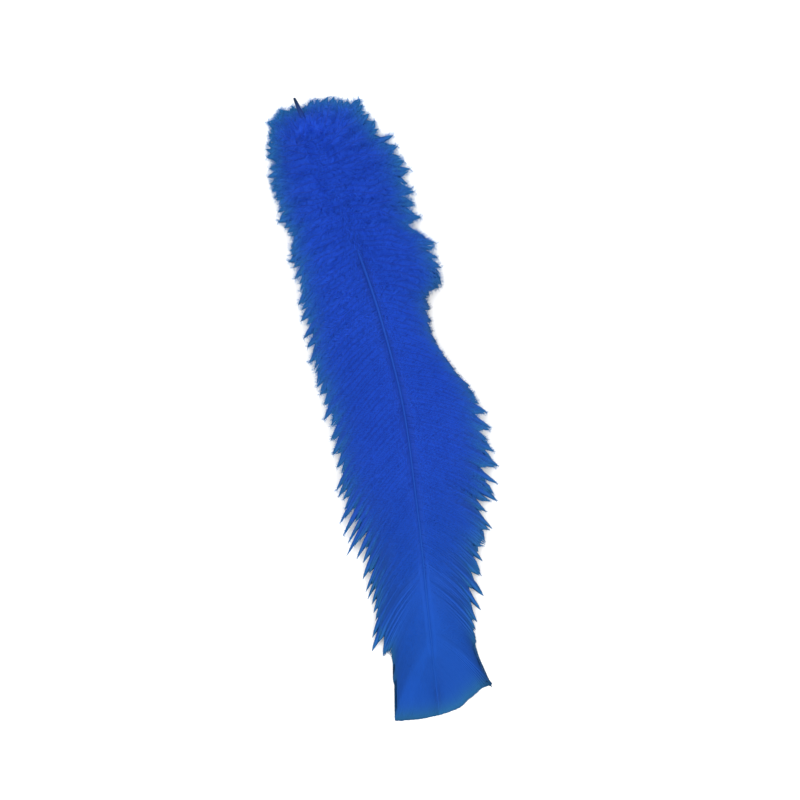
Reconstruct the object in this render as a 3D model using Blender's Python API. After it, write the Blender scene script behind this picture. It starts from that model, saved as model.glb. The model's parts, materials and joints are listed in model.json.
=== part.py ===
# A dyed turkey body feather, lying on a surface with its outer face up.
#
# Metres, +Z up. The feather lies along Y, with its quill towards +Y and its flat tip towards -Y,
# and X runs across the vane. Z is 0 on the surface that it lies on.
#
# A point of the feather is found from two measures: "along", the distance from the quill's end
# down the straight line to the tip, and "out", the distance from the shaft to one side.

import math
import random

import bmesh
import bpy
import numpy as np
from mathutils import Vector

MM = 0.001

# Driving dimensions
FEATHER_LENGTH = 120.6 * MM  # from the quill's end to the edge of the flat tip
SHAFT_ARCH = 5.6 * MM  # how far the shaft rises, at its middle
QUILL_HEIGHT = 2.8 * MM  # of the shaft's centre above the surface, at the quill's end
TIP_HEIGHT = 1.4 * MM  # of the vane's middle above the surface, at the tip
EDGE_ARCH = 1.2 * MM  # how far the vane's side edges rise, at their middle

# The shaft: quill and rachis in one. It bends sideways, as (along, x) in millimetres
SHAFT_BEND = (
    (0.0, 0.0),
    (15.0, 2.8),
    (30.0, 5.1),
    (45.0, 6.6),
    (58.0, 7.0),
    (81.0, 5.2),
    (102.0, 2.6),
    (120.6, 0.4),
)
QUILL_RADIUS = 0.85 * MM
SHAFT_TIP_RADIUS = 0.3 * MM
SHAFT_END = 112.0 * MM  # along
SHAFT_STEPS = 36
SHAFT_SIDES = 10
SHAFT_TAPER = 0.9  # below 1, it thins faster at first

# The locks of down, and the clean vane at the tip. A lock is a few rows of points across the
# feather: (where in the lock, how far past the outline, how high on the rib between -1 and 1)
LOCKS_PER_SIDE = 34
LOCK_ROWS = ((0.0, -1.9 * MM, -1.0), (0.38, -0.5 * MM, 0.2), (0.72, 0.4 * MM, 1.0))
LOCK_UNEVENNESS = 0.7 * MM  # of how far the locks reach
UNEVENNESS_SEED = 7
FULL_LOCK_ROOT = 25.0 * MM  # short of this the locks are shallower
SHALLOWEST_LOCK = 0.5  # of a full lock's depth, at the quill
LAST_LOCK_ROOT = 95.5 * MM  # past this the vane's edge is clean
TIP_ROWS = 14
STEPS_OUT = 7  # points of a row on each side of the shaft
VANE_THICKNESS = 0.44 * MM
EDGE_THICKNESS = 0.26 * MM
CAMBER_POWER = 1.8  # how late the vane turns down towards its edges
BODY_POWER = 0.8  # how soon the down thins towards the edges
RIB_POWER = 0.6  # how soon a rib rises and falls along its barb
RIB_ENDS_BEYOND = 1.1  # its barb's tip, so that a little of its height is left there
BEND_ALONG, BEND_OUT = 0.36, 0.55  # where a barb's curve is pulled to, as shares of its reach
SHORTEST_BARB = 6.0 * MM
WELD = 0.001 * MM

# How thick the down is above and below the vane's middle surface, and how high its ribs stand:
# (along, above, below, rib)
DOWN_STATIONS = (
    (0.0 * MM, 2.7 * MM, 3.2 * MM, 0.30 * MM),
    (10.0 * MM, 3.5 * MM, 5.5 * MM, 0.50 * MM),
    (28.0 * MM, 2.8 * MM, 5.5 * MM, 0.50 * MM),
    (45.0 * MM, 1.5 * MM, 2.6 * MM, 0.45 * MM),
    (70.0 * MM, 0.9 * MM, 1.2 * MM, 0.40 * MM),
    (100.0 * MM, 0.4 * MM, 0.4 * MM, 0.18 * MM),
    (112.0 * MM, 0.0 * MM, 0.0 * MM, 0.0 * MM),
)
SHAFT_COVERED_TO = 17.0 * MM  # the down closes over the shaft up to here
SHAFT_BARE_FROM = 30.0 * MM  # and lies beside it from here
BESIDE_SHAFT = 0.16  # how far out the down beside the shaft reaches its thickness

# Barbs that set the outline, as (root along, tip along, tip out) in millimetres. Down by the quill
# sweeps back, and the rest sweeps towards the tip. The first and the last lie over the shaft.
LEFT_BARBS = (
    (8.0, 2.4, 0.0),
    (8.5, 2.6, 2.6),
    (9.4, 3.6, 5.4),
    (10.8, 6.4, 7.6),
    (13.0, 10.2, 9.2),
    (17.0, 17.0, 11.6),
    (24.0, 27.0, 12.2),
    (33.0, 39.0, 14.2),
    (44.0, 53.0, 15.4),
    (55.5, 66.0, 14.4),
    (67.0, 79.0, 13.9),
    (75.0, 87.0, 12.0),
    (84.0, 96.0, 10.5),
    (92.0, 104.0, 10.5),
    (94.5, 106.5, 9.8),
    (97.5, 109.5, 7.8),
    (104.5, 119.2, 8.5),
    (109.0, 120.2, 5.5),
    (113.0, 120.6, 2.6),
    (116.5, 120.6, 0.0),
)
RIGHT_BARBS = (
    (8.0, 2.4, 0.0),
    (8.15, 1.0, 1.6),
    (8.5, 0.6, 4.4),
    (9.3, 1.4, 8.0),
    (10.6, 4.0, 11.2),
    (12.8, 8.6, 13.2),
    (16.5, 16.0, 14.8),
    (23.0, 25.0, 13.2),
    (26.8, 29.6, 12.5),
    (29.5, 33.2, 14.4),
    (34.5, 39.0, 14.2),
    (39.5, 44.0, 10.2),
    (45.0, 50.5, 9.4),
    (51.0, 57.5, 11.6),
    (59.0, 67.0, 15.5),
    (68.0, 77.0, 15.2),
    (71.5, 80.8, 14.4),
    (74.3, 84.0, 12.3),
    (78.5, 88.5, 12.9),
    (83.5, 94.3, 10.6),
    (94.5, 106.5, 9.0),
    (99.5, 112.0, 9.3),
    (104.5, 117.0, 10.4),
    (109.0, 119.6, 6.2),
    (113.0, 120.4, 2.8),
    (116.5, 120.6, 0.0),
)
LEFT, RIGHT = -1, 1

DYE_BLUE = (0.016, 0.085, 0.50, 1.0)
DYE_ROUGHNESS = 0.6


def clear_scene():
    for obj in list(bpy.data.objects):
        bpy.data.objects.remove(obj, do_unlink=True)


def smooth_through(xs, ys):
    """A curve through the points that never swings past them."""
    xs, ys = np.array(xs), np.array(ys)
    steps = np.diff(ys) / np.diff(xs)
    slopes = np.zeros(len(xs))
    for i in range(1, len(xs) - 1):
        if steps[i - 1] * steps[i] > 0:
            slopes[i] = 2 * steps[i - 1] * steps[i] / (steps[i - 1] + steps[i])
    slopes[0], slopes[-1] = steps[0], steps[-1]

    def value(x):
        x = min(max(x, xs[0]), xs[-1])
        i = min(int(np.searchsorted(xs, x, side="right")) - 1, len(xs) - 2)
        width = xs[i + 1] - xs[i]
        t = (x - xs[i]) / width
        rise = ys[i] * (1 + 2 * t) + slopes[i] * width * t
        fall = ys[i + 1] * (3 - 2 * t) - slopes[i + 1] * width * (1 - t)
        return rise * (1 - t) ** 2 + fall * t**2

    return value


def edge_curves(barbs):
    """How far along and how far out the tip of a barb lies, by where its root is."""
    roots, alongs, outs = (np.array(column) * MM for column in zip(*barbs))
    return smooth_through(roots, alongs), smooth_through(roots, outs)


EDGE = {LEFT: edge_curves(LEFT_BARBS), RIGHT: edge_curves(RIGHT_BARBS)}
SHAFT_X = smooth_through(*(np.array(column) * MM for column in zip(*SHAFT_BEND)))
DOWN_ABOVE, DOWN_BELOW, RIB_HEIGHT = (
    smooth_through([row[0] for row in DOWN_STATIONS], [row[i] for row in DOWN_STATIONS])
    for i in (1, 2, 3)
)


def arch_share(along):
    """0 at both ends of the feather and 1 at its middle."""
    share = min(max(along / FEATHER_LENGTH, 0.0), 1.0)
    return 4 * share * (1 - share)


def shaft_point(along):
    arch = arch_share(along)
    slope = (TIP_HEIGHT - QUILL_HEIGHT) * along / FEATHER_LENGTH
    height = QUILL_HEIGHT + slope + SHAFT_ARCH * arch
    return Vector((SHAFT_X(along), FEATHER_LENGTH / 2 - along, height))


def barb_place(side, root, reach, share):
    """(along, out) of the point at this share of a barb, whose length is changed by reach."""
    tip_along, tip_out = (curve(root) for curve in EDGE[side])
    full = math.hypot(tip_along - root, tip_out)
    grown = 1 + reach / max(full, SHORTEST_BARB)
    sweep, width = (tip_along - root) * grown, tip_out * grown
    pull = 2 * share * (1 - share)
    return (
        root + sweep * (BEND_ALONG * pull + share**2),
        width * (BEND_OUT * pull + share**2),
    )


def beside_shaft(along, share):
    """0 at a bare shaft, and 1 away from it or where the down covers it."""
    bare = (along - SHAFT_COVERED_TO) / (SHAFT_BARE_FROM - SHAFT_COVERED_TO)
    bare = min(max(bare, 0.0), 1.0)
    return 1 - bare * math.exp(-((share / BESIDE_SHAFT) ** 2))


def vane_points(side, root, reach, rib, share):
    """The vane's upper and lower points at this share of a barb."""
    along, out = barb_place(side, root, reach, share)
    place = shaft_point(along)
    place.x += side * out
    edge = EDGE_THICKNESS / 2 + EDGE_ARCH * arch_share(along)
    middle = place.z + (edge - place.z) * share**CAMBER_POWER
    body = (1 - share**2) ** BODY_POWER * beside_shaft(along, share)
    skin = VANE_THICKNESS / 2 + (EDGE_THICKNESS - VANE_THICKNESS) / 2 * share
    swell = max(math.sin(math.pi * share / RIB_ENDS_BEYOND), 0.0) ** RIB_POWER
    ribbed = rib * RIB_HEIGHT(along) * swell
    upper = middle + skin + DOWN_ABOVE(along) * body + ribbed
    lower = max(middle - skin - DOWN_BELOW(along) * body, 0.0)
    upper = max(upper, lower + EDGE_THICKNESS)
    return Vector((place.x, place.y, upper)), Vector((place.x, place.y, lower))


def evenly_spaced_roots(first, last, count):
    """Roots from first to last, spaced so that the barbs' tips are evenly spread round the edge."""
    samples = np.linspace(first, last, 400)
    travel = np.zeros(len(samples))
    for alongs, outs in EDGE.values():
        tips = np.array([(alongs(root), outs(root)) for root in samples])
        travel[1:] += np.cumsum(np.hypot(*np.diff(tips, axis=0).T))
    return np.interp(np.linspace(0, travel[-1], count), travel, samples)


def vane_rows():
    """(root, reach on each side, rib) of every row of the vane, from the quill to the tip."""
    first, last = LEFT_BARBS[0][0] * MM, LEFT_BARBS[-1][0] * MM
    evenness = random.Random(UNEVENNESS_SEED)
    rows = []
    edges = evenly_spaced_roots(first, LAST_LOCK_ROOT, LOCKS_PER_SIDE + 1)
    for start, end in zip(edges, edges[1:]):
        depth = SHALLOWEST_LOCK + (1 - SHALLOWEST_LOCK) * min(start / FULL_LOCK_ROOT, 1.0)
        uneven = {side: evenness.uniform(-1, 1) * LOCK_UNEVENNESS for side in EDGE}
        for place, reach, rib in LOCK_ROWS:
            reaches = {side: reach * depth + uneven[side] for side in EDGE}
            rows.append((start + (end - start) * place, reaches, rib))
    for root in evenly_spaced_roots(LAST_LOCK_ROOT, last, TIP_ROWS):
        rows.append((root, {LEFT: 0.0, RIGHT: 0.0}, 0.0))
    return rows


def mesh_object(name, shape):
    bmesh.ops.recalc_face_normals(shape, faces=shape.faces)
    mesh = bpy.data.meshes.new(name)
    shape.to_mesh(mesh)
    shape.free()
    obj = bpy.data.objects.new(name, mesh)
    bpy.context.scene.collection.objects.link(obj)
    return obj


def ring_edges(shape, ring):
    edges = []
    for i, vert in enumerate(ring):
        following = ring[(i + 1) % len(ring)]
        edges.append(shape.edges.get((vert, following)) or shape.edges.new((vert, following)))
    return edges


def build_vane():
    """Every row is a closed ring of points, over the vane from left to right and back under it."""
    shape = bmesh.new()
    rings = []
    for root, reaches, rib in vane_rows():
        upper, lower = [], []
        for step in range(-STEPS_OUT, STEPS_OUT + 1):
            side = LEFT if step < 0 else RIGHT
            share = abs(step) / STEPS_OUT
            above, below = vane_points(side, root, reaches[side], rib, share)
            upper.append(shape.verts.new(above))
            lower.append(shape.verts.new(below))
        rings.append(upper + lower[::-1])
    for near, far in zip(rings, rings[1:]):
        for i in range(len(near)):
            j = (i + 1) % len(near)
            shape.faces.new((near[i], far[i], far[j], near[j]))
    shape.faces.new(rings[0])
    shape.faces.new(rings[-1])
    bmesh.ops.remove_doubles(shape, verts=shape.verts, dist=WELD)
    bmesh.ops.dissolve_degenerate(shape, edges=shape.edges, dist=WELD)
    bmesh.ops.triangulate(shape, faces=shape.faces)
    return mesh_object("feather", shape)


def build_shaft():
    """Quill and rachis: a tapered rod along the vane's middle, blunt at both ends."""
    shape = bmesh.new()
    rings = []
    for i in range(SHAFT_STEPS + 1):
        share = i / SHAFT_STEPS
        centre = shaft_point(SHAFT_END * share)
        radius = QUILL_RADIUS + (SHAFT_TIP_RADIUS - QUILL_RADIUS) * share**SHAFT_TAPER
        ring = []
        for corner in range(SHAFT_SIDES):
            turn = 2 * math.pi * corner / SHAFT_SIDES
            offset = Vector((math.cos(turn), 0.0, math.sin(turn))) * radius
            ring.append(shape.verts.new(centre + offset))
        rings.append(ring)
    for near, far in zip(rings, rings[1:]):
        bmesh.ops.bridge_loops(shape, edges=ring_edges(shape, near) + ring_edges(shape, far))
    shape.faces.new(rings[0])
    shape.faces.new(rings[-1])
    shaft = mesh_object("shaft", shape)
    shaft.hide_render = True
    shaft.display_type = "WIRE"
    return shaft


def centre_on_origin(*objects):
    """Moves the meshes so that the middle of their joint box lies over the origin."""
    points = np.array([v.co for obj in objects for v in obj.data.vertices])
    middle = (points.min(0) + points.max(0)) / 2
    for obj in objects:
        for vertex in obj.data.vertices:
            vertex.co.x -= middle[0]
            vertex.co.y -= middle[1]


def dye():
    material = bpy.data.materials.new("blue_dye")
    material.use_nodes = True
    shader = material.node_tree.nodes["Principled BSDF"]
    shader.inputs["Base Color"].default_value = DYE_BLUE
    shader.inputs["Roughness"].default_value = DYE_ROUGHNESS
    shader.inputs["Metallic"].default_value = 0.0
    return material


def main():
    clear_scene()
    feather = build_vane()
    shaft = build_shaft()
    centre_on_origin(feather, shaft)
    joined = feather.modifiers.new("shaft", "BOOLEAN")
    joined.operation = "UNION"
    joined.object = shaft
    feather.data.materials.append(dye())


main()
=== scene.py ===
# The looks of a dyed blue turkey body feather, lying with its outer face up.
# The shaft is modelled on its own, and the barbs and their down are many small blades joined into a
# few meshes. Every barb runs from its root on the shaft towards the outline of the imported solid.
import json
import math
import random

import bpy
import numpy as np
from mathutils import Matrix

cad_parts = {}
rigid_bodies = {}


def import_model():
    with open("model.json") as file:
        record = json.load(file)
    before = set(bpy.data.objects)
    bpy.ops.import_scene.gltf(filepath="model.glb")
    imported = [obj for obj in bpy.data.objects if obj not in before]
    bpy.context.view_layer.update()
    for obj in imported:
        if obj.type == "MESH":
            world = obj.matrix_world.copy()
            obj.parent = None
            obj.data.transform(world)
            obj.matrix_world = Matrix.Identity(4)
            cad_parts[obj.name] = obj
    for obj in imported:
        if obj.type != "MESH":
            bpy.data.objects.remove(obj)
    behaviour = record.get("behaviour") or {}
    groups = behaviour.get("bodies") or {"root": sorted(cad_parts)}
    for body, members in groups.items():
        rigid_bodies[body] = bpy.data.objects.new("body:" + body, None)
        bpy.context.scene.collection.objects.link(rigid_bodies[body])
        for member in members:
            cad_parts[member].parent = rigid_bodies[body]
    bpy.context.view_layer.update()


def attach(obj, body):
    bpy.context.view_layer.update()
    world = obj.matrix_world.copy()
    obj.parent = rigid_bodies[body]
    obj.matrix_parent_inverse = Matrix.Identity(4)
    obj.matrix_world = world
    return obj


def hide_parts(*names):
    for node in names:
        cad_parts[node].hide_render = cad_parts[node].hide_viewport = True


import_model()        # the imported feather, which everything here is laid on

mm = 0.001
left, right = -1, 1

# The feather's form, as the solid has it. "Along" runs from the quill's end down the straight
# line to the tip, and "out" from the shaft to one side.
form = {
    "length": 120.6 * mm,
    "quillX": -6.624 * mm,        # of the quill's end, from the middle of the box
    "shaftArch": 5.6 * mm,
    "quillHeight": 2.8 * mm,
    "tipHeight": 1.4 * mm,
    "edgeArch": 1.2 * mm,
    "edgeHeight": 0.13 * mm,
    "camberPower": ((84, 104), (1.8, 1.25)),      # the vane's tip is flatter across
    "bendAlong": 0.36,
    "bendOut": 0.55,
    "shortestBarb": 6.0 * mm,
}

# How thick the down is above and below the vane, and how high a lock's rib stands, along the
# feather, in mm
downAlong = (0.0, 10.0, 28.0, 45.0, 70.0, 100.0, 112.0)
downAbove = (2.7, 3.5, 2.8, 1.5, 0.9, 0.4, 0.0)
downBelow = (3.2, 5.5, 5.5, 2.6, 1.2, 0.4, 0.0)
ribHeight = (0.30, 0.50, 0.50, 0.45, 0.40, 0.18, 0.0)

# Barbs that set the outline: where the root is along the shaft, and the tip along and out, in mm
leftBarbs = (
    (8.0, 2.4, 0.0), (8.5, 2.6, 2.6), (9.4, 3.6, 5.4), (10.8, 6.4, 7.6), (13.0, 10.2, 9.2),
    (17.0, 17.0, 11.6), (24.0, 27.0, 12.2), (33.0, 39.0, 14.2), (44.0, 53.0, 15.4),
    (55.5, 66.0, 14.4), (67.0, 79.0, 13.9), (75.0, 87.0, 12.0), (84.0, 96.0, 10.5),
    (92.0, 104.0, 10.5), (94.5, 106.5, 9.8), (97.5, 109.5, 7.8), (104.5, 119.2, 8.5),
    (109.0, 120.2, 5.5), (113.0, 120.6, 2.6), (116.5, 120.6, 0.0),
)
rightBarbs = (
    (8.0, 2.4, 0.0), (8.15, 1.0, 1.6), (8.5, 0.6, 4.4), (9.3, 1.4, 8.0), (10.6, 4.0, 11.2),
    (12.8, 8.6, 13.2), (16.5, 16.0, 14.8), (23.0, 25.0, 13.2), (26.8, 29.6, 12.5),
    (29.5, 33.2, 14.4), (34.5, 39.0, 14.2), (39.5, 44.0, 10.2), (45.0, 50.5, 9.4),
    (51.0, 57.5, 11.6), (59.0, 67.0, 15.5), (68.0, 77.0, 15.2), (71.5, 80.8, 14.4),
    (74.3, 84.0, 12.3), (78.5, 88.5, 12.9), (83.5, 94.3, 10.6), (94.5, 106.5, 9.0),
    (99.5, 112.0, 9.3), (104.5, 117.0, 10.4), (104.9, 117.5, 10.0), (109.0, 119.6, 6.2),
    (113.0, 120.4, 2.8),
    (116.5, 120.6, 0.0),
)

# How the shaft bends sideways: along, and to the right, in mm
shaftBend = (
    (0.0, 0.0), (15.0, 2.8), (30.0, 5.1), (45.0, 6.6), (58.0, 7.0), (81.0, 5.2), (102.0, 2.6),
    (120.6, 0.4),
)

# How the barbs part into tufts at the outline. Each row is how far along the tips lie, how wide
# and how deep the tufts are there, all in mm, and how far the rim is turned under. A tall tuft
# stands past its neighbours, by its place along and its extra height. The inset is how far short
# of the outline the barbs end, along the feather, as their fuzz reaches past them.
rims = {
    left: {
        "rows": (
            (2.4, 1.5, 0.6, 0.0), (6, 1.5, 0.7, 0.0), (10, 1.6, 1.1, 0.0), (20, 1.6, 1.1, 0.0),
            (35, 1.9, 1.2, 0.0), (50, 2.1, 1.3, 0.0), (62, 2.0, 1.1, 0.0), (72, 2.0, 1.5, 0.0),
            (77, 2.2, 2.2, 0.0), (79.5, 2.1, 4.2, 0.0), (87, 2.0, 4.1, 0.0), (90, 2.2, 2.6, 0.0),
            (92, 2.2, 3.6, 0.0), (95, 2.2, 3.2, 0.0), (97.5, 1.7, 1.0, 0.0), (101, 1.9, 0.8, 0.0),
            (102.5, 2.7, 2.4, 0.0), (106, 2.7, 2.4, 0.0), (107.6, 2.0, 0.0, 0.3),
            (110.5, 2.0, 0.0, 0.5), (121, 2.0, 0.0, 0.3),
        ),
        "tall": ((22.0, 0.6), (29.0, 1.6), (39.5, 0.8), (53.5, 1.2), (60.5, 0.6), (66.0, 0.7),
                 (75.0, 0.8), (80.5, 0.3), (84.0, 0.3), (94.0, 0.5), (104.1, 0.8), (106.5, 0.4)),
        "valley": 0.34,
        "inset": ((3, 8, 13, 26, 38, 52, 69, 88, 105, 107, 108, 109.5, 111.5, 113, 119.5, 120.6),
                  (-0.9, 0, 0.3, 0.7, 0.9, 0.85, 0.85, 0.8, 0.9, 0.9, 0.9, -0.2, -0.5, 0, -0.2,
                   0.1)),
        "seed": 5,
    },
    right: {
        "rows": (
            (0.6, 1.2, 0.3, 0.0), (4, 1.4, 0.5, 0.0), (9, 1.9, 0.9, 0.0), (12, 2.7, 1.9, 0.0),
            (28, 3.1, 2.1, 0.0), (31, 2.4, 0.8, 0.0), (37, 2.2, 1.1, 0.1), (41, 2.0, 0.6, 0.8),
            (43, 1.6, 0.3, 1.0), (57, 1.6, 0.2, 1.0), (61, 1.8, 0.5, 0.4), (66, 2.2, 1.4, 0.0),
            (71, 2.2, 1.6, 0.0), (74, 3.4, 1.4, 0.0), (77, 3.0, 2.2, 0.0), (81.5, 3.4, 3.4, 0.0),
            (86, 3.0, 0.8, 0.1), (91, 3.2, 1.0, 0.2), (94, 3.0, 2.0, 0.0), (99, 3.4, 3.0, 0.0),
            (104, 3.4, 2.8, 0.1), (107, 3.0, 0.7, 0.3), (110, 2.0, 0.0, 0.4), (113, 2.0, 0.0, 0.8),
            (117, 2.0, 0.0, 1.1), (118.2, 2.0, 0.0, 0.1), (121, 2.0, 0.0, 0.0),
        ),
        "tall": ((3.3, 1.1), (28.1, 0.8), (34.0, 0.8), (68.0, 0.6), (75.0, 0.6), (81.5, 2.0),
                 (99.3, 0.6), (103.9, 0.6)),
        "valley": 0.42,
        "inset": ((0, 13, 26, 38, 52, 69, 88, 105, 107, 110.5, 113, 116.2, 117, 117.5, 118.1, 119.5,
                   120.2, 120.6),
                  (0.4, 0.4, 0.12, 0.8, 0.45, 0.6, -0.2, 0.9, 1.2, 1.4, 0.7, 0.4, -0.2, 0.4, 0.95,
                   0.9, 0.2, 0.1)),
        "seed": 6,
    },
}
rimRows = {side: np.array(rims[side]["rows"]).T for side in rims}
tuft = {
    "lastRoot": 99.5 * mm,       # past this the vane is whole up to its edge
    "finer": ((88, 99), (1.0, 1.9)),      # the barbs stand closer at the tip
    "settles": ((42, 74), (1.0, 0.15)),   # the layers close up towards the tip
    "apart": (0.12 * mm, 0.28 * mm),      # of the layers from the vane, above it and below
    "sharpness": ((8, 11, 30, 34), (1.7, 2.6, 2.6, 1.7)),     # the more, the narrower the tufts
    "widths": (0.6, 1.35),       # of the row's width
    "depths": (0.55, 1.3),       # of the row's depth
    "peaks": (0.45, 0.85),       # where across a tuft its furthest barb stands
    "firmness": (0.7, 1.0),
    "leastWidth": 0.1 * mm,
    "leastDepth": 0.05 * mm,
    "tallWidth": 1.1 * mm,
    "unevenness": 0.3 * mm,
    "tilt": 0.13 * mm,           # of a tuft's end, up or down
    "tiltEnds": ((88, 99), (1.0, 0.0)),
    "rib": 0.10,                 # of the solid's ribs, towards the outline
    "ribFrom": 0.7,              # the share of a barb from which rib and tilt show
    "gatherLength": 1.0,         # of a tuft's depth
    "gatherLimits": (0.04, 0.6),          # of a barb's length
    "rollFrom": 0.84,
    "rollTo": 1.1,
    "rollDrop": 1.4 * mm,
    "rimDepth": ((90, 99), (3.2, 2.0)),       # how far in the rim's colour reaches, along a barb
    "turnedShadeDepth": ((90, 99), (1.7, 3.4)),    # how far in the painted shade reaches from a rim that is turned under
    "filled": 0.55,              # how far down between the tufts an unspiked layer reaches
}

# How the barbs of a layer differ from one another. Pairs of rows go by the root's place in mm.
barb = {
    "jitter": ((90, 100), (0.3, 0.1)),    # of the root, in spaces between roots
    "raggedness": ((0, 1), (0.25, 1)),    # of the tips, by their tuft's depth in mm
    "raggedLimits": (-2, 1.6),
    "wholeSpread": 0.03,                  # of the tips where the edge is whole, in mm
    "wholeLimits": (-0.06, 0.04),
    "gather": (0.6, 1.0),
    "shortens": (0.3, 0.7),               # always, and more where the layers are loose
    "crossLifts": ((18, 33), (1.0, 0.15)),    # the down across the shaft thins out
    "crossStarts": ((18, 33), (1.0, 0.1)),
    "tone": (0.35, 0.65),                 # the tuft's part, and the barb's own
    "toneEvens": ((90, 99), (1.0, 0.35)),
}

# How the barbs lie. Shares are of a barb's length.
lay = {
    "softness": ((8, 30, 50, 70, 90, 99), (1.0, 0.85, 0.5, 0.22, 0.12, 0.0)),
    "leastWaves": 0.7,
    "heave": 0.7,                # up and down, of what it waves sideways
    "riseOver": 0.12,            # the share in which a barb leaves the shaft
    "dome": 0.8,
    "bareFrom": 20 * mm,         # from here on the down above sinks beside the shaft
    "bareOver": 13 * mm,
    "bareShare": 0.3,
    "crossHeight": 0.3,
    "lowest": 0.1 * mm,
}

# The lobe's lowest tuft on the right curls over towards the tip
curl = {
    "at": 39.2 * mm,
    "spread": 1.5 * mm,
    "from": 0.78,
    "to": 1.15,
    "power": 1.3,
    "down": 2.6 * mm,
    "inwards": 1.5 * mm,
    "inwardsPower": 1.5,
    "up": 0.5 * mm,
}


def smoothThrough(xs, ys):
    # a curve through the points that never swings past them
    xs, ys = np.array(xs, float), np.array(ys, float)
    steps = np.diff(ys) / np.diff(xs)
    slopes = np.zeros(len(xs))
    inner = steps[:-1] * steps[1:] > 0
    slopes[1:-1][inner] = (2 * steps[:-1] * steps[1:] / (steps[:-1] + steps[1:] + 1e-30))[inner]
    slopes[0], slopes[-1] = steps[0], steps[-1]

    def value(x):
        x = np.clip(x, xs[0], xs[-1])
        i = np.clip(np.searchsorted(xs, x, side="right") - 1, 0, len(xs) - 2)
        width = xs[i + 1] - xs[i]
        t = (x - xs[i]) / width
        rise = ys[i] * (1 + 2 * t) + slopes[i] * width * t
        fall = ys[i + 1] * (3 - 2 * t) - slopes[i + 1] * width * (1 - t)
        return rise * (1 - t) ** 2 + fall * t ** 2

    return value


def edgeCurves(barbs):
    roots, alongs, outs = (np.array(column) * mm for column in zip(*barbs))
    return smoothThrough(roots, alongs), smoothThrough(roots, outs)


edges = {left: edgeCurves(leftBarbs), right: edgeCurves(rightBarbs)}
shaftX = smoothThrough(*(np.array(column) * mm for column in zip(*shaftBend)))
above, below, ribs = (
    smoothThrough(np.array(downAlong) * mm, np.array(row) * mm)
    for row in (downAbove, downBelow, ribHeight)
)


def archShare(along):
    share = np.clip(along / form["length"], 0, 1)
    return 4 * share * (1 - share)


def shaftPoint(along):
    x = form["quillX"] + shaftX(along)
    y = form["length"] / 2 - along
    slope = (form["tipHeight"] - form["quillHeight"]) * along / form["length"]
    z = form["quillHeight"] + slope + form["shaftArch"] * archShare(along)
    return np.stack([x, y, z], axis=-1)


def edgeHeight(along):
    return form["edgeHeight"] + form["edgeArch"] * archShare(along)


def evenRoots(first, last, count):
    # roots spaced so that their barbs' tips are evenly spread round the outline
    samples = np.linspace(first, last, 400)
    finer = np.interp(samples[1:] / mm, *tuft["finer"])
    travel = np.zeros(len(samples))
    for alongs, outs in edges.values():
        travel[1:] += np.cumsum(np.hypot(np.diff(alongs(samples)), np.diff(outs(samples))) * finer)
    return np.interp(np.linspace(0, travel[-1], count), travel, samples)


def outlineTravel(side, samples):
    alongs, outs = edges[side]
    steps = np.hypot(np.diff(alongs(samples)), np.diff(outs(samples)))
    return np.concatenate([[0], np.cumsum(steps)])


def tuftTable(side):
    # the roots where the tufts of a side start, uneven in width, with what sets each one apart
    rim = rims[side]
    draw = random.Random(rim["seed"])
    samples = np.linspace(leftBarbs[0][0] * mm, tuft["lastRoot"], 600)
    travel = outlineTravel(side, samples)
    starts, at = [samples[0]], 0.0
    while at < travel[-1]:
        tip = edges[side][0](np.interp(at, travel, samples))
        width = np.interp(tip / mm, rimRows[side][0], rimRows[side][1]) * mm
        at += width * draw.uniform(*tuft["widths"])
        starts.append(np.interp(at, travel, samples))
    starts[-1] = max(starts[-1], starts[-2] + tuft["leastWidth"])
    count = len(starts) - 1

    def drawn(low, high):
        return np.array([draw.uniform(low, high) for _ in range(count)])

    return {
        "starts": np.array(starts),
        "peak": drawn(*tuft["peaks"]),
        "depth": drawn(*tuft["depths"]),
        "uneven": drawn(-1, 1) * tuft["unevenness"],
        "tone": drawn(0, 1),
        "tilt": np.array([draw.gauss(0, 1) for _ in range(count)]) * tuft["tilt"],
        "firm": drawn(*tuft["firmness"]),
    }


tufts = {side: tuftTable(side) for side in (left, right)}


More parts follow.
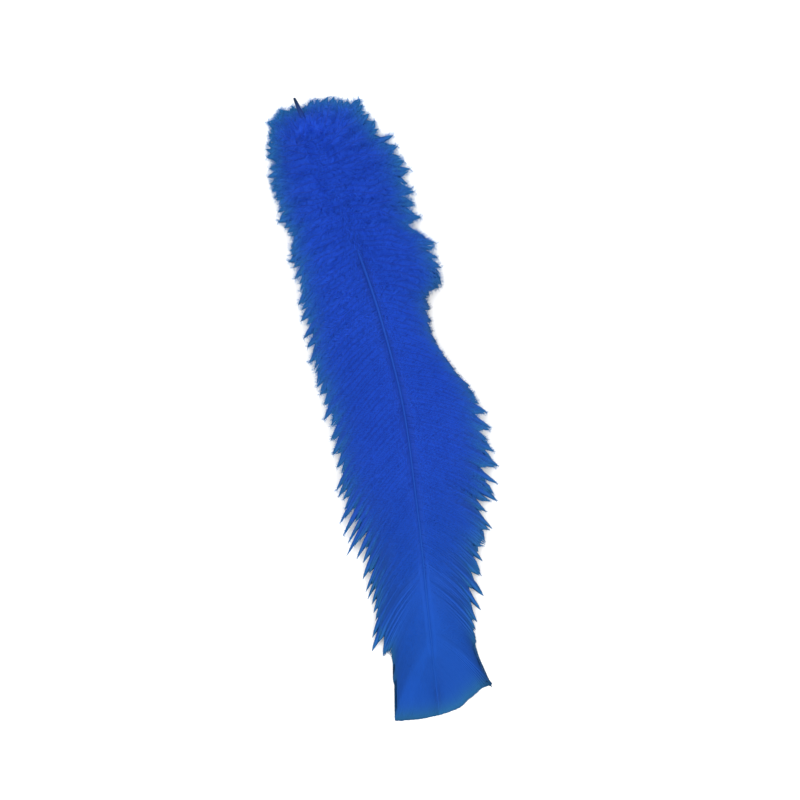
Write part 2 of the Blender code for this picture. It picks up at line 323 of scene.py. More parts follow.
def sow(count, first, last, seed, lift=(0.0, 0.0), clump=0.5, shorter=(0.0, 0.0), ragged=0.35,
        cross=0.0, spiked=1.0):
    # barbs on both sides from one root to another, gathered into the tufts
    rng = np.random.default_rng(seed)
    sown = []
    for side in (left, right):
        rim, table = rims[side], tufts[side]
        rowAlongs, _, rowDepths, rowRolled = rimRows[side]
        root = evenRoots(first * mm, last * mm, count)
        jitter = np.interp(root / mm, *barb["jitter"])
        root += rng.uniform(-1, 1, count) * jitter * np.gradient(root)
        root = np.clip(root, first * mm, last * mm)
        tipAlong = edges[side][0](root)
        length = np.hypot(tipAlong - root, edges[side][1](root))
        rootMm, tipMm = root / mm, tipAlong / mm
        own = np.searchsorted(table["starts"], root, side="right") - 1
        own = np.clip(own, 0, len(table["peak"]) - 1)
        start, end = table["starts"][own], table["starts"][own + 1]
        place = np.clip((root - start) / (end - start), 0, 1)
        peak = table["peak"][own]
        swell = np.where(place < peak, place / peak, (1 - place) / (1 - peak))
        spike = swell ** np.interp(tipMm, *tuft["sharpness"])
        depth = np.interp(tipMm, rowAlongs, rowDepths) * mm * table["depth"][own]
        inTuft = (root < tuft["lastRoot"]) & (depth > tuft["leastDepth"])
        loose = np.interp(rootMm, *tuft["settles"])
        reach = depth * (spike - rim["valley"]) * spiked - depth * tuft["filled"] * (1 - spiked)
        reach += table["uneven"][own] * spiked
        peakRoot = start + peak * (end - start)
        for tall, extra in rim["tall"]:
            nearness = np.exp(-((edges[side][0](peakRoot) - tall * mm) / tuft["tallWidth"]) ** 2)
            reach += extra * mm * spiked * nearness
        raggedness = ragged * mm * np.interp(depth / mm, *barb["raggedness"])
        reach += np.clip(rng.normal(0, 1, count), *barb["raggedLimits"]) * raggedness
        whole = np.clip(rng.normal(0, barb["wholeSpread"], count), *barb["wholeLimits"]) * mm
        reach = np.where(inTuft, reach, whole)
        reach -= np.interp(tipMm, *rim["inset"]) * mm
        gathers = tuft["gatherLength"] * depth / np.maximum(length, form["shortestBarb"])
        crossLift = np.interp(rootMm, *barb["crossLifts"]) if cross else 1.0
        always, whenLoose = barb["shortens"]
        tuftTone, ownTone = barb["tone"]
        # the random draws below stay in this order
        sown.append({
            "side": np.full(count, side),
            "root": root,
            "peak": np.where(inTuft, peakRoot, root),
            "gather": clump * table["firm"][own] * rng.uniform(*barb["gather"], count),
            "gatherFrom": 1 - np.clip(gathers, *tuft["gatherLimits"]),
            "reach": reach,
            "rib": np.where(inTuft, 2 * swell - 1, 0.0),
            "lift": rng.uniform(*lift, count) * loose * crossLift,
            "shorter": rng.uniform(*shorter, count) * (always + whenLoose * loose),
            "cross": cross * mm * np.interp(rootMm, *barb["crossStarts"]),
            "rolled": np.interp(tipMm, rowAlongs, rowRolled),
            "curl": np.exp(-((tipAlong - curl["at"]) / curl["spread"]) ** 2) * (side == right),
            "tone": 0.5 + np.interp(rootMm, *barb["toneEvens"]) * (
                tuftTone * (table["tone"][own] - 0.5) + ownTone * rng.uniform(-0.5, 0.5, count)),
            "tilt": table["tilt"][own] * np.interp(rootMm, *tuft["tiltEnds"]),
            "wave": rng.uniform(0, 1, (count, 4)),
        })
    return {key: np.concatenate([s[key] for s in sown]) for key in sown[0]}


# the points along each barb, closer together towards its tip
steps = 18
shares = np.linspace(0, 1, steps) ** 0.85


def planOf(side, root, reach, shorter, share):
    # how far along and out each point of a barb lies, and its share of the way to the outline
    onLeft = side == left
    tipAlong = np.where(onLeft, edges[left][0](root), edges[right][0](root))
    tipOut = np.where(onLeft, edges[left][1](root), edges[right][1](root))
    full = np.hypot(tipAlong - root, tipOut)
    grown = (1 + reach / np.maximum(full, form["shortestBarb"])) * (1 - shorter)
    pull = 2 * share * (1 - share)
    along = root + (tipAlong - root) * grown * (form["bendAlong"] * pull + share ** 2)
    out = tipOut * grown * (form["bendOut"] * pull + share ** 2)
    return along, out, np.clip(share * grown, 0, 1)


def easeIn(share, start, end):
    t = np.clip((share - start) / (end - start), 0, 1)
    return t * t * (3 - 2 * t)


def layBarbs(sown, wobble):
    # the path of every barb as points, from its root to its tip
    side, root, peak, reach, shorter, gather, start = (sown[key][:, None] for key in (
        "side", "root", "peak", "reach", "shorter", "gather", "gatherFrom"))
    lift, rib, tilt, cross, rolled, curled = (sown[key][:, None] for key in (
        "lift", "rib", "tilt", "cross", "rolled", "curl"))
    share = shares[None, :]
    along, out, toOutline = planOf(side, root, reach, shorter, share)
    peakAlong, peakOut, _ = planOf(side, peak, reach, shorter, share)
    pull = gather * easeIn(share, start, 1.0)      # the tufts part only near the outline
    along = along + pull * (peakAlong - along)
    out = out + pull * (peakOut - out)
    out = out - cross * (1 - share) ** 2           # some down starts across the shaft
    over = curled * easeIn(share, curl["from"], curl["to"]) ** curl["power"]
    along = along + curl["down"] * over
    out = out - curl["inwards"] * over ** curl["inwardsPower"]

    # soft down waves sideways and up and down, and the stiff vane near the tip hardly does
    softness = np.interp(root / mm, *lay["softness"])
    turns, phase = lay["leastWaves"] + sown["wave"][:, 0::2], sown["wave"][:, 1::2]
    swing, heave = (
        np.sin(2 * np.pi * (turns[:, k:k + 1] * share + phase[:, k:k + 1])) * share * softness
        for k in (0, 1))
    along = along + swing * wobble * mm

    spot = shaftPoint(along)
    middle = spot[..., 2]
    camber = np.interp(along / mm, *form["camberPower"])
    height = middle + (edgeHeight(along) - middle) * toOutline ** camber
    rise = 1 - np.exp(-(share / lay["riseOver"]) ** 2)
    dome = np.clip(1 - share ** 2, 0, 1) ** lay["dome"] * rise
    bare = np.clip((along - lay["bareFrom"]) / lay["bareOver"], 0, 1)
    beside = 1 - bare * np.exp(-((share / lay["bareShare"]) ** 2))
    height = height + np.where(lift > 0, above(along) * beside, below(along)) * lift * dome
    height = height + np.where(lift > 0, tuft["apart"][0], -tuft["apart"][1]) * (lift != 0) * rise
    towardsEnd = easeIn(share, tuft["ribFrom"], 1.0)
    height = height + rib * ribs(along) * tuft["rib"] * towardsEnd
    height = height + heave * wobble * lay["heave"] * mm + tilt * towardsEnd
    height = height + lay["crossHeight"] * cross * (1 - share)
    height = height - rolled * tuft["rollDrop"] * easeIn(share, tuft["rollFrom"], tuft["rollTo"])
    height = height + curl["up"] * over
    spot[..., 0] += side * out
    spot[..., 2] = np.maximum(height, lay["lowest"])
    return spot


def rimShades(sown, points):
    # 1 at a barb's end, and less further in: of the rim's colour, and of the painted shade on the
    # band turned under
    run = np.linalg.norm(np.diff(points, axis=1), axis=2)
    toEnd = np.cumsum(run[:, ::-1], axis=1)[:, ::-1]
    toEnd = np.concatenate([toEnd, np.zeros((len(points), 1))], axis=1)
    toEnd = toEnd + toEnd[:, :1] * (sown["shorter"] / (1 - sown["shorter"]))[:, None]
    rimDepth, turnedShadeDepth = (
        np.interp(sown["root"] / mm, *tuft[key])[:, None] * mm
        for key in ("rimDepth", "turnedShadeDepth"))
    rim = np.exp(-(toEnd / rimDepth) ** 1.5)
    # painted shade on the band that is turned under
    turnedShade = np.exp(-(toEnd / turnedShadeDepth) ** 2) * sown["rolled"][:, None]
    return {"rim": rim, "turnedShade": turnedShade}


def barbFrames(points):
    # along each barb, up from it, and across it
    run = np.gradient(points, axis=1)
    run /= np.linalg.norm(run, axis=2, keepdims=True) + 1e-12
    up = np.array([0, 0, 1.0]) - run * run[..., 2:3]
    up /= np.linalg.norm(up, axis=2, keepdims=True) + 1e-12
    return run, up, np.cross(up, run)


def joinedMesh(name, points, corners, values):
    # one mesh of many small faces, each with the same number of corners
    mesh = bpy.data.meshes.new(name)
    perFace = corners.shape[1]
    mesh.vertices.add(len(points))
    mesh.vertices.foreach_set("co", points.astype(np.float32).ravel())
    mesh.loops.add(corners.size)
    mesh.loops.foreach_set("vertex_index", corners.astype(np.int32).ravel())
    mesh.polygons.add(len(corners))
    mesh.polygons.foreach_set("loop_start", np.arange(0, corners.size, perFace, dtype=np.int32))
    mesh.update(calc_edges=True)
    for key, value in values.items():
        layer = mesh.attributes.new(key, "FLOAT", "POINT")
        layer.data.foreach_set("value", value.astype(np.float32).ravel())
    # a plan of the feather as a UV map, laid out as it is seen from above
    plan = mesh.uv_layers.new(name="OFBake")
    flat = points[corners.ravel()][:, :2] / (1.06 * form["length"]) + 0.5
    plan.data.foreach_set("uv", flat.astype(np.float32).ravel())
    piece = bpy.data.objects.new(name, mesh)
    bpy.context.scene.collection.objects.link(piece)
    return piece


def barbPieces(name, sown, points, settings):
    # each barb is a closed blade, four-sided across: a keel, a ridge, and a web to each side
    run, up, across = barbFrames(points)
    count = len(points)
    sameSide = sown["side"][1:] == sown["side"][:-1]
    between = np.linalg.norm(points[1:] - points[:-1], axis=2) * sameSide[:, None]
    gap = np.zeros((count, steps))
    gap[:-1] = between
    gap[1:] = np.maximum(gap[1:], between)
    share = shares[None, :]
    stiff = np.interp(sown["root"] / mm, *settings["stiffness"])[:, None]
    web = np.clip(gap, settings["leastGap"] * mm, settings["widest"] * mm)
    web = web * np.interp(sown["root"] / mm, *settings["web"])[:, None]
    taper = np.maximum(1 - sown["gatherFrom"], settings["leastTaper"])[:, None]
    narrowing = np.clip((1 - share) / taper, 0, 1) ** settings["taperPower"]
    web = web * (narrowing + (1 - narrowing) * easeIn(stiff, settings["bluntFrom"], 1.0))
    web = web + settings["thinnest"] * mm
    thins = 1 - settings["thins"] * share
    thick = (settings["thickness"] * thins + settings["leastThickness"]) * mm
    drop = (settings["shingle"] * web)[..., None]
    toTip = across * (-sown["side"][:, None, None])

    # a stiff barb's end is cut along the outline, not square
    rim = np.gradient(points[:, -1], axis=0)
    endRun, endTip = run[:, -1], toTip[:, -1]
    sideways = (rim * endTip).sum(axis=1)
    slant = (rim * endRun).sum(axis=1) / np.where(abs(sideways) < 1e-9, 1e-9, sideways)
    slant = np.clip(slant, -settings["mostSlant"], settings["mostSlant"])[:, None]
    slantStiff, slantShare = settings["slantFrom"]
    slanted = web * slant * easeIn(stiff, slantStiff, 1.0) * easeIn(share, slantShare, 1.0)
    cut = run * slanted[..., None]
    ring = np.stack([
        points + up * thick[..., None],
        points + toTip * web[..., None] - up * drop + cut,
        points - up * thick[..., None] * settings["keel"],
        points - toTip * web[..., None] + up * drop - cut,
    ], axis=2)
    ring[..., 2] = np.maximum(ring[..., 2], settings["lowest"] * mm)
    base = np.arange(count)[:, None, None] * steps * 4
    step = np.arange(steps - 1)[None, :, None] * 4
    corner = np.arange(4)[None, None, :]
    here = base + step + corner
    beside = base + step + (corner + 1) % 4
    sides = np.stack([here, beside, beside + 4, here + 4], axis=-1)
    flip = sown["side"] == left
    sides[flip] = sides[flip][..., ::-1]
    ends = np.stack([base[:, 0, 0] + 3 - k for k in range(4)], axis=-1)
    tips = np.stack([base[:, 0, 0] + (steps - 1) * 4 + k for k in range(4)], axis=-1)
    caps = np.stack([ends, tips], axis=1)
    caps[flip] = caps[flip][..., ::-1]
    corners = np.concatenate([sides.reshape(-1, 4), caps.reshape(-1, 4)])
    values = {
        "tone": np.repeat(sown["tone"], steps * 4),
        "fine": np.zeros((count, steps, 4)),
    }
    for key, shade in rimShades(sown, points).items():
        values[key] = np.repeat(shade, 4, axis=1)
    return joinedMesh(name, ring.reshape(-1, 3), corners, values)


def barbulePieces(name, sown, points, settings):
    # the barbules of some barbs, each a tapered blade that bends once
    rng = np.random.default_rng(settings["seed"])
    run, up, across = barbFrames(points)
    barbLength = np.linalg.norm(np.diff(points, axis=1), axis=2).sum(axis=1)
    each = np.maximum((barbLength / mm * settings["perMm"]).astype(int), 1)
    owner = np.repeat(np.arange(len(points)), each)
    total = len(owner)
    share = rng.uniform(settings["firstShare"], 1, total) ** settings["outwardBias"]
    at = np.interp(share, shares, np.arange(steps))
    low = np.clip(at.astype(int), 0, steps - 2)
    part = (at - low)[:, None]
    p = points[owner, low] * (1 - part) + points[owner, low + 1] * part
    t, n, b = (v[owner, low] for v in (run, up, across))

    along = form["length"] / 2 - p[:, 1]
    length = np.interp(along / mm, *settings["length"]) * mm
    soft = np.interp(along / mm, *settings["softness"])
    stiffLength = np.interp(share, settings["envelopeAt"], settings["envelope"])
    softLength = np.interp(share, settings["envelopeAt"], settings["softEnvelope"])
    length *= stiffLength + (softLength - stiffLength) * soft
    length *= rng.uniform(*settings["lengths"], total)
    splay = np.interp(share, (0, 1), settings["splay"]) * (1 - soft)
    splay += np.interp(share, (0, 1), settings["softSplay"]) * soft
    splay = np.radians(splay + rng.normal(0, settings["splayStray"], total))
    roll = np.radians(np.interp(along / mm, *settings["roll"])) * rng.uniform(-1, 1, total)
    facing = rng.choice((-1.0, 1.0), total)
    sideways = b * (facing * np.cos(roll))[:, None] + n * np.sin(roll)[:, None]
    way = t * np.cos(splay)[:, None] + sideways * np.sin(splay)[:, None]
    bent = way + t * settings["bend"] + rng.normal(0, settings["stray"], (total, 3))
    bent /= np.linalg.norm(bent, axis=1, keepdims=True)
    width = (settings["width"] * mm * rng.uniform(*settings["widths"], total))[:, None]
    middle = p + way * (length * settings["bendAt"])[:, None]
    tip = middle + bent * (length * (1 - settings["bendAt"]))[:, None]
    verts = np.stack([p, middle + t * width / 2, tip, middle - t * width / 2], axis=1)
    verts[..., 2] = np.maximum(verts[..., 2], settings["lowest"] * mm)
    base = (np.arange(total) * 4)[:, None]
    corners = np.concatenate([base + (0, 1, 3), base + (3, 1, 2)])
    values = {
        "tone": np.repeat(sown["tone"][owner], 4),
        "fine": np.tile((0.0, 0.4, 1.0, 0.4), total),
    }
    for key, shade in rimShades(sown, points).items():
        here = shade[owner, low] * (1 - part[:, 0]) + shade[owner, low + 1] * part[:, 0]
        values[key] = np.repeat(here, 4)
    return joinedMesh(name, verts.reshape(-1, 3), corners, values)


def pick(sown, points, keep):
    return {key: value[keep] for key, value in sown.items()}, points[keep]


def clearPick():
    if bpy.context.object and bpy.context.object.mode != "OBJECT":
        bpy.ops.object.mode_set(mode="OBJECT")
    bpy.ops.object.select_all(action="DESELECT")


shaftSettings = {
    "sides": 12,
    "rings": 56,
    "ringSpacing": 1.25,            # above 1 the rings stand closer at the quill
    "end": 118.2 * mm,
    "alongs": (0.0, 1.0, 4.0, 9.0, 20.0, 45.0, 80.0, 105.0, 118.2),
    "radii": (0.24, 0.36, 0.52, 0.58, 0.42, 0.29, 0.19, 0.11, 0.04),
    "darkTo": 6.0 * mm,
    "openingInset": 0.09 * mm,
    "openingDepth": 0.9 * mm,
    "grooveFrom": 12.0 * mm,
    "grooveDepth": 0.45,            # of the shaft's radius
    "grooveReach": 0.4,             # to each side, of the shaft's radius
}


def makeShaft():
    # quill and rachis: one round face drawn out along the feather, with the pith's opening
    s = shaftSettings
    radius = smoothThrough(np.array(s["alongs"]) * mm, np.array(s["radii"]) * mm)
    alongs = s["end"] * (np.linspace(0, 1, s["rings"]) ** s["ringSpacing"])
    places = shaftPoint(alongs)
    radii = radius(alongs)
    clearPick()
    bpy.ops.mesh.primitive_circle_add(
        vertices=s["sides"], radius=float(radii[0]), fill_type="NGON",
        location=places[0], rotation=(math.radians(90), 0, 0))
    shaft = bpy.context.object
    shaft.name = "shaft"
    bpy.ops.object.mode_set(mode="EDIT")
    bpy.ops.mesh.select_all(action="SELECT")
    for i in range(1, s["rings"]):
        move = [float(v) for v in places[i] - places[i - 1]]
        grow = float(radii[i] / radii[i - 1])
        bpy.ops.mesh.extrude_region_move(TRANSFORM_OT_translate={"value": move})
        bpy.ops.transform.resize(
            value=(grow, 1, grow), center_override=[float(v) for v in places[i]])
    bpy.ops.mesh.select_all(action="SELECT")
    bpy.ops.mesh.normals_make_consistent(inside=False)

    # the opening at the quill's end
    bpy.ops.mesh.select_all(action="DESELECT")
    bpy.ops.object.mode_set(mode="OBJECT")
    top = max(shaft.data.polygons, key=lambda f: (shaft.matrix_world @ f.center).y)
    top.select = True
    bpy.ops.object.mode_set(mode="EDIT")
    bpy.ops.mesh.inset(thickness=s["openingInset"], depth=0)
    bpy.ops.mesh.extrude_region_move(TRANSFORM_OT_translate={"value": (0, -s["openingDepth"], 0)})
    bpy.ops.object.mode_set(mode="OBJECT")
    bpy.ops.object.transform_apply(location=True, rotation=True, scale=True)

    # the rachis is grooved along its underside
    for v in shaft.data.vertices:
        along = form["length"] / 2 - v.co.y
        if along < s["grooveFrom"]:
            continue
        centre = shaftPoint(np.array(along))
        size = float(radius(along))
        sink = max(0.0, 1 - abs(v.co.x - centre[0]) / (s["grooveReach"] * size))
        if v.co.z < centre[2]:
            v.co.z += sink * s["grooveDepth"] * size
    smooth = shaft.modifiers.new("smooth", "SUBSURF")
    smooth.levels = smooth.render_levels = 1
    bpy.ops.object.modifier_apply(modifier="smooth")
    bpy.ops.object.shade_smooth()
    dark = [max(0.0, 1 - (form["length"] / 2 - v.co.y) / s["darkTo"]) for v in shaft.data.vertices]
    for key in ("rim", "fine"):
        shaft.data.attributes.new(key, "FLOAT", "POINT").data.foreach_set("value", dark)
    return shaft


def nodeIn(tree, kind, place=(0, 0), **settings):
    node = tree.nodes.new(kind)
    node.location = place
    for key, value in settings.items():
        setattr(node, key, value)
    return node


def setInputs(node, values):
    for socket, value in values.items():
        node.inputs[socket].default_value = value


take = {
    "patches": {"From Min": 0.35, "From Max": 0.65},       # of the noise
    "patchDetail": 3.0,
    "toneShare": 0.45,             # of the barb's own tone, against the patches
    "speckle": {"Scale": 900.0, "Detail": 2.0},
    "speckleShare": 0.2,
    "towardsTip": {"From Min": -0.005, "From Max": -0.052},    # down the feather, in metres
    "tipTones": {"To Min": 0.86, "To Max": 1.14},
    "fineShare": 0.15,             # of the fringe's colour, at the finest ends
    # how much the painted shade darkens a rim that is turned under
    "turnedShadeStrength": -0.52,
    "rough": {"To Min": 0.72, "To Max": 0.5},
}


def dyeGroup():
    # how the dye took: patchy over the feather and uneven from barb to barb, with a greener tip and
    # rim; and a painted shade, darker where the rim is turned under
    group = bpy.data.node_groups.new("dyeTake", "ShaderNodeTree")
    face = group.interface
    for name, value in (("Deep", (0.01, 0.05, 0.35, 1)), ("Bright", (0.02, 0.12, 0.6, 1)),
                        ("Tip", (0.02, 0.15, 0.6, 1)), ("Fringe", (0.05, 0.2, 0.6, 1))):
        face.new_socket(name, in_out="INPUT", socket_type="NodeSocketColor").default_value = value
    for name, value in (("Fringe amount", 0.3), ("Patch size", 0.012), ("Patch strength", 0.5)):
        face.new_socket(name, in_out="INPUT", socket_type="NodeSocketFloat").default_value = value
    face.new_socket("Colour", in_out="OUTPUT", socket_type="NodeSocketColor")
    face.new_socket("Rough", in_out="OUTPUT", socket_type="NodeSocketFloat")
    face.new_socket("Height", in_out="OUTPUT", socket_type="NodeSocketFloat")
    given = nodeIn(group, "NodeGroupInput", (-1200, 0))
    result = nodeIn(group, "NodeGroupOutput", (900, 0))
    link = group.links.new

    where = nodeIn(group, "ShaderNodeTexCoord", (-1200, 400))
    split = nodeIn(group, "ShaderNodeSeparateXYZ", (-1000, 500))
    link(where.outputs["Object"], split.inputs[0])
    perMetre = nodeIn(group, "ShaderNodeMath", (-1000, 200), operation="DIVIDE")
    perMetre.inputs[0].default_value = 1.0
    link(given.outputs["Patch size"], perMetre.inputs[1])
    patches = nodeIn(group, "ShaderNodeTexNoise", (-800, 400))
    patches.inputs["Detail"].default_value = take["patchDetail"]
    link(where.outputs["Object"], patches.inputs["Vector"])
    link(perMetre.outputs[0], patches.inputs["Scale"])
    speckle = nodeIn(group, "ShaderNodeTexNoise", (-800, 100))
    setInputs(speckle, take["speckle"])
    link(where.outputs["Object"], speckle.inputs["Vector"])

    tone = nodeIn(group, "ShaderNodeAttribute", (-800, -150), attribute_name="tone")
    rim = nodeIn(group, "ShaderNodeAttribute", (-800, -350), attribute_name="rim")
    fine = nodeIn(group, "ShaderNodeAttribute", (-800, -550), attribute_name="fine")

    # patches and tones, mixed about their middle
    stretch = nodeIn(group, "ShaderNodeMapRange", (-600, 400))
    setInputs(stretch, take["patches"])
    link(patches.outputs["Fac"], stretch.inputs["Value"])
    both = nodeIn(group, "ShaderNodeMix", (-400, 200))
    both.inputs["Factor"].default_value = take["toneShare"]
    link(stretch.outputs[0], both.inputs["A"])
    link(tone.outputs["Fac"], both.inputs["B"])
    grain = nodeIn(group, "ShaderNodeMix", (-250, 200))
    grain.inputs["Factor"].default_value = take["speckleShare"]
    link(both.outputs["Result"], grain.inputs["A"])
    link(speckle.outputs["Fac"], grain.inputs["B"])
    centred = nodeIn(group, "ShaderNodeMath", (-100, 200), operation="MULTIPLY_ADD")
    link(grain.outputs["Result"], centred.inputs[0])
    link(given.outputs["Patch strength"], centred.inputs[1])
    half = nodeIn(group, "ShaderNodeMath", (-250, 20), operation="MULTIPLY_ADD")
    half.inputs[1].default_value = -0.5
    half.inputs[2].default_value = 0.5
    link(given.outputs["Patch strength"], half.inputs[0])
    link(half.outputs[0], centred.inputs[2])
    body = nodeIn(group, "ShaderNodeMix", (100, 200), data_type="RGBA")
    link(centred.outputs[0], body.inputs["Factor"])
    link(given.outputs["Deep"], body.inputs["A"])
    link(given.outputs["Bright"], body.inputs["B"])

    # the flat tip took the dye a little greener
    towardsTip = nodeIn(group, "ShaderNodeMapRange", (100, 500), interpolation_type="SMOOTHSTEP")
    setInputs(towardsTip, take["towardsTip"])
    link(split.outputs["Y"], towardsTip.inputs["Value"])
    tipped = nodeIn(group, "ShaderNodeMix", (300, 300), data_type="RGBA")
    link(towardsTip.outputs[0], tipped.inputs["Factor"])
    link(body.outputs["Result"], tipped.inputs["A"])
    tipTone = nodeIn(group, "ShaderNodeMix", (200, 0), data_type="RGBA", blend_type="MULTIPLY")
    tipTone.inputs["Factor"].default_value = 1.0
    shade = nodeIn(group, "ShaderNodeMapRange", (50, -100))
    setInputs(shade, take["tipTones"])
    link(centred.outputs[0], shade.inputs["Value"])
    link(given.outputs["Tip"], tipTone.inputs["A"])
    link(shade.outputs[0], tipTone.inputs["B"])
    link(tipTone.outputs["Result"], tipped.inputs["B"])

    # the rim and the finest ends are greener
    ends = nodeIn(group, "ShaderNodeMath", (250, -300), operation="MULTIPLY_ADD")
    ends.inputs[1].default_value = take["fineShare"]
    link(fine.outputs["Fac"], ends.inputs[0])
    link(rim.outputs["Fac"], ends.inputs[2])
    amount = nodeIn(group, "ShaderNodeMath", (400, -300), operation="MULTIPLY", use_clamp=True)
    link(ends.outputs[0], amount.inputs[0])
    link(given.outputs["Fringe amount"], amount.inputs[1])
    fringed = nodeIn(group, "ShaderNodeMix", (600, 200), data_type="RGBA")
    link(amount.outputs[0], fringed.inputs["Factor"])
    link(tipped.outputs["Result"], fringed.inputs["A"])
    link(given.outputs["Fringe"], fringed.inputs["B"])

    # painted shade: a rim that is turned under is darker
    turnedShade = nodeIn(group, "ShaderNodeAttribute", (400, -500), attribute_name="turnedShade")
    darker = nodeIn(group, "ShaderNodeMath", (550, -500), operation="MULTIPLY_ADD")
    darker.inputs[1].default_value = take["turnedShadeStrength"]
    darker.inputs[2].default_value = 1.0
    link(turnedShade.outputs["Fac"], darker.inputs[0])
    shaded = nodeIn(group, "ShaderNodeMix", (750, 200), data_type="RGBA", blend_type="MULTIPLY")
    shaded.inputs["Factor"].default_value = 1.0
    link(fringed.outputs["Result"], shaded.inputs["A"])
    link(darker.outputs[0], shaded.inputs["B"])
    link(shaded.outputs["Result"], result.inputs["Colour"])

    rough = nodeIn(group, "ShaderNodeMapRange", (600, -100))
    setInputs(rough, take["rough"])
    link(centred.outputs[0], rough.inputs["Value"])
    link(rough.outputs[0], result.inputs["Rough"])
    link(speckle.outputs["Fac"], result.inputs["Height"])
    return group


dyeTake = dyeGroup()


def dyedMaterial(name, settings):
    made = bpy.data.materials.new(name)
    made.use_nodes = True
    tree = made.node_tree
    shader = tree.nodes["Principled BSDF"]
    output = tree.nodes["Material Output"]
    dye = nodeIn(tree, "ShaderNodeGroup", (-400, 200))
    dye.node_tree = dyeTake
    for key in ("Deep", "Bright", "Tip", "Fringe", "Fringe amount", "Patch size", "Patch strength"):
        dye.inputs[key].default_value = settings[key]
    tree.links.new(dye.outputs["Colour"], shader.inputs["Base Color"])
    tree.links.new(dye.outputs["Rough"], shader.inputs["Roughness"])
    bump = nodeIn(tree, "ShaderNodeBump", (-200, -200))
    bump.inputs["Strength"].default_value = settings["bump"]
    bump.inputs["Distance"].default_value = 0.05 * mm
    tree.links.new(dye.outputs["Height"], bump.inputs["Height"])
    tree.links.new(bump.outputs["Normal"], shader.inputs["Normal"])
    shader.inputs["Specular IOR Level"].default_value = settings["specular"]
    shader.inputs["Sheen Weight"].default_value = settings["sheen"]
    shader.inputs["Sheen Roughness"].default_value = 0.5
    shader.inputs["Sheen Tint"].default_value = settings["sheenTint"]
    if settings["through"] > 0:
        # light comes through the thin blades
        through = nodeIn(tree, "ShaderNodeBsdfTranslucent", (0, -300))
        tree.links.new(dye.outputs["Colour"], through.inputs["Color"])
        mix = nodeIn(tree, "ShaderNodeMixShader", (250, 0))
        mix.inputs["Fac"].default_value = settings["through"]
        tree.links.new(shader.outputs["BSDF"], mix.inputs[1])
        tree.links.new(through.outputs["BSDF"], mix.inputs[2])
        tree.links.new(mix.outputs["Shader"], output.inputs["Surface"])
    return made


vaneDye = {
    "Deep": (0.010, 0.051, 0.43, 1), "Bright": (0.014, 0.075, 0.54, 1),
    "Tip": (0.007, 0.087, 0.49, 1), "Fringe": (0.022, 0.165, 0.36, 1),
    "Fringe amount": 0.9, "Patch size": 0.011, "Patch strength": 0.7,
    "bump": 0.15, "specular": 0.14, "sheen": 0.03, "sheenTint": (0.3, 0.5, 1.0, 1), "through": 0.22,
}
downDye = dict(vaneDye, **{
    "Deep": (0.017, 0.082, 0.64, 1), "Bright": (0.023, 0.115, 0.79, 1),
    "Tip": (0.009, 0.093, 0.53, 1), "Fringe": (0.034, 0.228, 0.50, 1),
    "bump": 0.0, "specular": 0.08, "sheen": 0.05, "through": 0.28,
})
shaftDye = dict(vaneDye, **{
    "Deep": (0.005, 0.042, 0.30, 1), "Bright": (0.007, 0.054, 0.36, 1),
    "Tip": (0.005, 0.068, 0.38, 1),
    "Fringe": (0.005, 0.020, 0.055, 1), "Fringe amount": 1.0,     # the quill's end is dark
    "bump": 0.25, "specular": 0.12, "sheen": 0.0, "through": 0.0,
})


def finishPiece(piece, material):
    piece.data.materials.append(material)
    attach(piece, "root")
    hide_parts("feather")


print("materials")
vaneMaterial = dyedMaterial("dyedVane", vaneDye)
downMaterial = dyedMaterial("dyedDown", downDye)
shaftMaterial = dyedMaterial("dyedShaft", shaftDye)

print("shaft")
shaft = makeShaft()
finishPiece(shaft, shaftMaterial)

print("barbs of the vane")
barbSettings = {
    "stiffness": ((8, 55, 93, 99), (0.0, 0.3, 0.6, 1.0)),
    "leastTaper": 0.17,               # how much of a soft barb's end narrows
    "taperPower": 0.7,
    "bluntFrom": 0.75,                # the stiffness from which the end stays wide
    "web": ((8, 121), (0.66, 0.66)),  # how far a barb's web reaches to the next barb
    "leastGap": 0.05, "widest": 0.9, "thinnest": 0.015, "shingle": 0.06,
    "thickness": 0.025, "thins": 0.75, "leastThickness": 0.004, "keel": 1.2,
    "mostSlant": 3.5,
    "slantFrom": (0.7, 0.8),          # the stiffness, and the share of a barb
    "lowest": 0.02,
}
vane = sow(360, 8.0, 116.5, seed=11, clump=0.75, ragged=0.4)
vanePoints = layBarbs(vane, wobble=0.25)
for name, side in (("barbs_left", left), ("barbs_right", right)):
    sown, points = pick(vane, vanePoints, vane["side"] == side)
    finishPiece(barbPieces(name, sown, points, barbSettings), vaneMaterial)

print("barbs of the down")
downSettings = dict(barbSettings, web=((8, 121), (0.12, 0.12)), widest=0.4, thinnest=0.025,
                    thickness=0.03)
# the layer under the vane closes up between 40 and 58 mm along
underSettings = dict(downSettings, web=((40, 58), (0.12, 0.66)), widest=1.8)
layers = {
    "above": dict(count=205, first=8.0, last=90.0, seed=12, lift=(0.2, 1.0), clump=0.35,
                  shorter=(0.02, 0.22), ragged=0.4, spiked=0.35),
    "over_shaft": dict(count=80, first=8.0, last=33.0, seed=14, lift=(0.35, 0.9), clump=0.3,
                       shorter=(0.3, 0.75), ragged=0.5, cross=3.0),
    "under": dict(count=136, first=8.0, last=97.0, seed=13, lift=(-1.0, 0.0), clump=0.3,
                  shorter=(0.02, 0.22), ragged=0.4, spiked=0.2),
}
downLaid = {}
for layer, sowing in layers.items():
    sown = sow(**sowing)
    downLaid[layer] = (sown, layBarbs(sown, wobble=0.8))
    blades = underSettings if layer == "under" else downSettings
    finishPiece(barbPieces("down_barbs_" + layer, *downLaid[layer], blades), vaneMaterial)

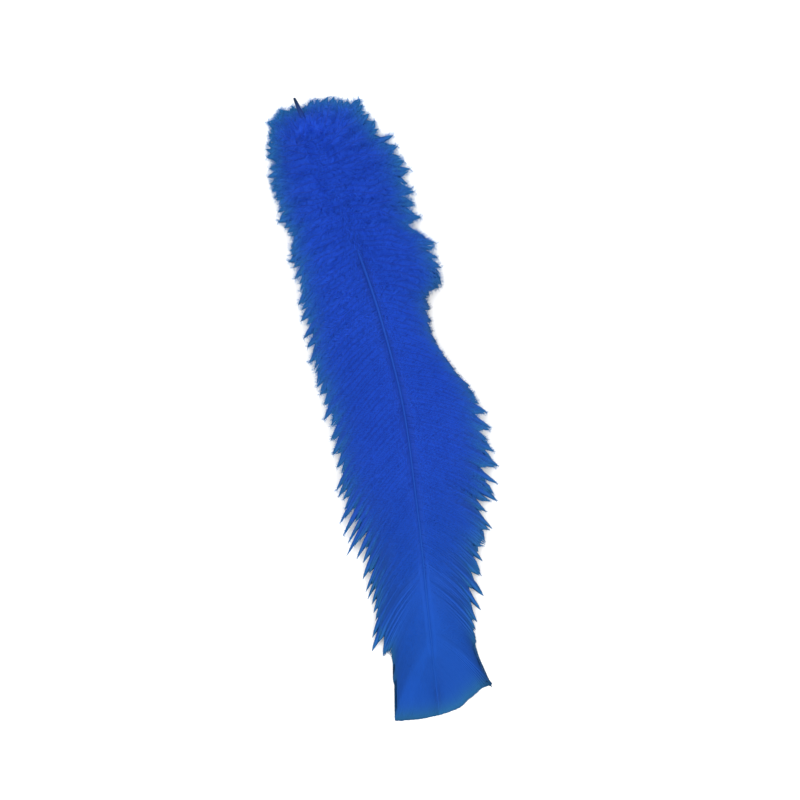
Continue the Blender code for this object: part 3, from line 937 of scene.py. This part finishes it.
print("barbules")
fluff = {
    "perMm": 16.0,
    "firstShare": 0.03,
    "outwardBias": 0.8,
    "length": ((0, 25, 45, 70, 84, 96, 121), (1.6, 1.6, 1.4, 1.2, 1.0, 0.7, 0.4)),
    "lengths": (0.6, 1.15),                               # of that length
    "softness": ((0, 40, 70, 88, 100), (1.0, 0.95, 0.75, 0.4, 0.0)),     # along the feather, in mm
    "envelopeAt": (0, 0.15, 0.5, 0.85, 1),
    "envelope": (0.8, 1.0, 1.0, 0.6, 0.3),                # a barbule's length, along the barb
    "softEnvelope": (0.8, 1.0, 1.0, 1.0, 0.65),
    "splay": (60, 24),                                    # in degrees, at a barb's root and end
    "softSplay": (68, 58),
    "splayStray": 9,
    "roll": ((0, 30, 60, 85, 97), (65, 50, 40, 25, 5)),
    "bend": 0.25,
    "bendAt": 0.4,
    "stray": 0.18,
    "width": 0.055,
    "widths": (0.75, 1.2),                                # of that width
    "lowest": 0.015,
}
for name, side, seed in (("down_left", left, 21), ("down_right", right, 22)):
    sown, points = pick(vane, vanePoints, vane["side"] == side)
    finishPiece(barbulePieces(name, sown, points, dict(fluff, seed=seed)), downMaterial)
for layer, perMm, seed in (("above", 16.0, 23), ("over_shaft", 20.0, 25), ("under", 14.0, 24)):
    fuzz = barbulePieces("down_" + layer, *downLaid[layer], dict(fluff, perMm=perMm, seed=seed))
    finishPiece(fuzz, downMaterial)
for piece in bpy.data.objects:
    if piece.type == "MESH" and piece.name != "feather":
        print(piece.name, sum(len(face.vertices) - 2 for face in piece.data.polygons), "triangles")

print("floor, light and camera")
stage = {
    "floorSize": 12.0,
    "floorColour": (0.95, 0.95, 0.95, 1),
    "floorRough": 0.9,
    "floorSpecular": 0.1,
    "lights": {                        # the place, size and power of each
        "key": ((-0.35, 0.45, 0.8), 0.6, 4.0),
        "fill": ((0.5, -0.3, 0.7), 0.8, 2.5),
    },
    "roomColour": (1.0, 1.0, 1.0, 1),
    "roomStrength": 1.03,
    "turn": math.radians(-13.04),      # how the feather leans in the picture
    "lens": 100.0,
    "sensor": 36.0,
    "frameHeight": 0.152,              # metres across the picture at the surface
    "lookAt": (0.0, 0.0, 0.0015),
}


def makeFloor():
    clearPick()
    bpy.ops.mesh.primitive_plane_add(size=stage["floorSize"], location=(0, 0, 0))
    floor = bpy.context.object
    floor.name = "floor"
    paint = bpy.data.materials.new("floorPaint")
    paint.use_nodes = True
    shader = paint.node_tree.nodes["Principled BSDF"]
    shader.inputs["Base Color"].default_value = stage["floorColour"]
    shader.inputs["Roughness"].default_value = stage["floorRough"]
    shader.inputs["Specular IOR Level"].default_value = stage["floorSpecular"]
    floor.data.materials.append(paint)


def makeLight(name, place, size, power):
    bpy.ops.object.light_add(type="AREA", location=place)
    light = bpy.context.object
    light.name = name
    light.data.shape = "DISK"
    light.data.size = size
    light.data.energy = power
    light.rotation_mode = "QUATERNION"
    light.rotation_quaternion = (-light.location).to_track_quat("-Z", "Y")


def makeCamera():
    distance = stage["frameHeight"] / 2 / (stage["sensor"] / 2 / stage["lens"])
    x, y, z = stage["lookAt"]
    bpy.ops.object.camera_add(location=(x, y, z + distance), rotation=(0, 0, stage["turn"]))
    camera = bpy.context.object
    camera.data.lens = stage["lens"]
    camera.data.sensor_width = stage["sensor"]
    camera.data.clip_start = 0.01
    bpy.context.scene.camera = camera


makeFloor()
for name, (place, size, power) in stage["lights"].items():
    makeLight(name, place, size, power)
makeCamera()
world = bpy.data.worlds.new("softRoom")
bpy.context.scene.world = world
world.use_nodes = True
room = world.node_tree.nodes["Background"]
room.inputs["Color"].default_value = stage["roomColour"]
room.inputs["Strength"].default_value = stage["roomStrength"]
bpy.context.scene.view_settings.view_transform = "Standard"

print("done")
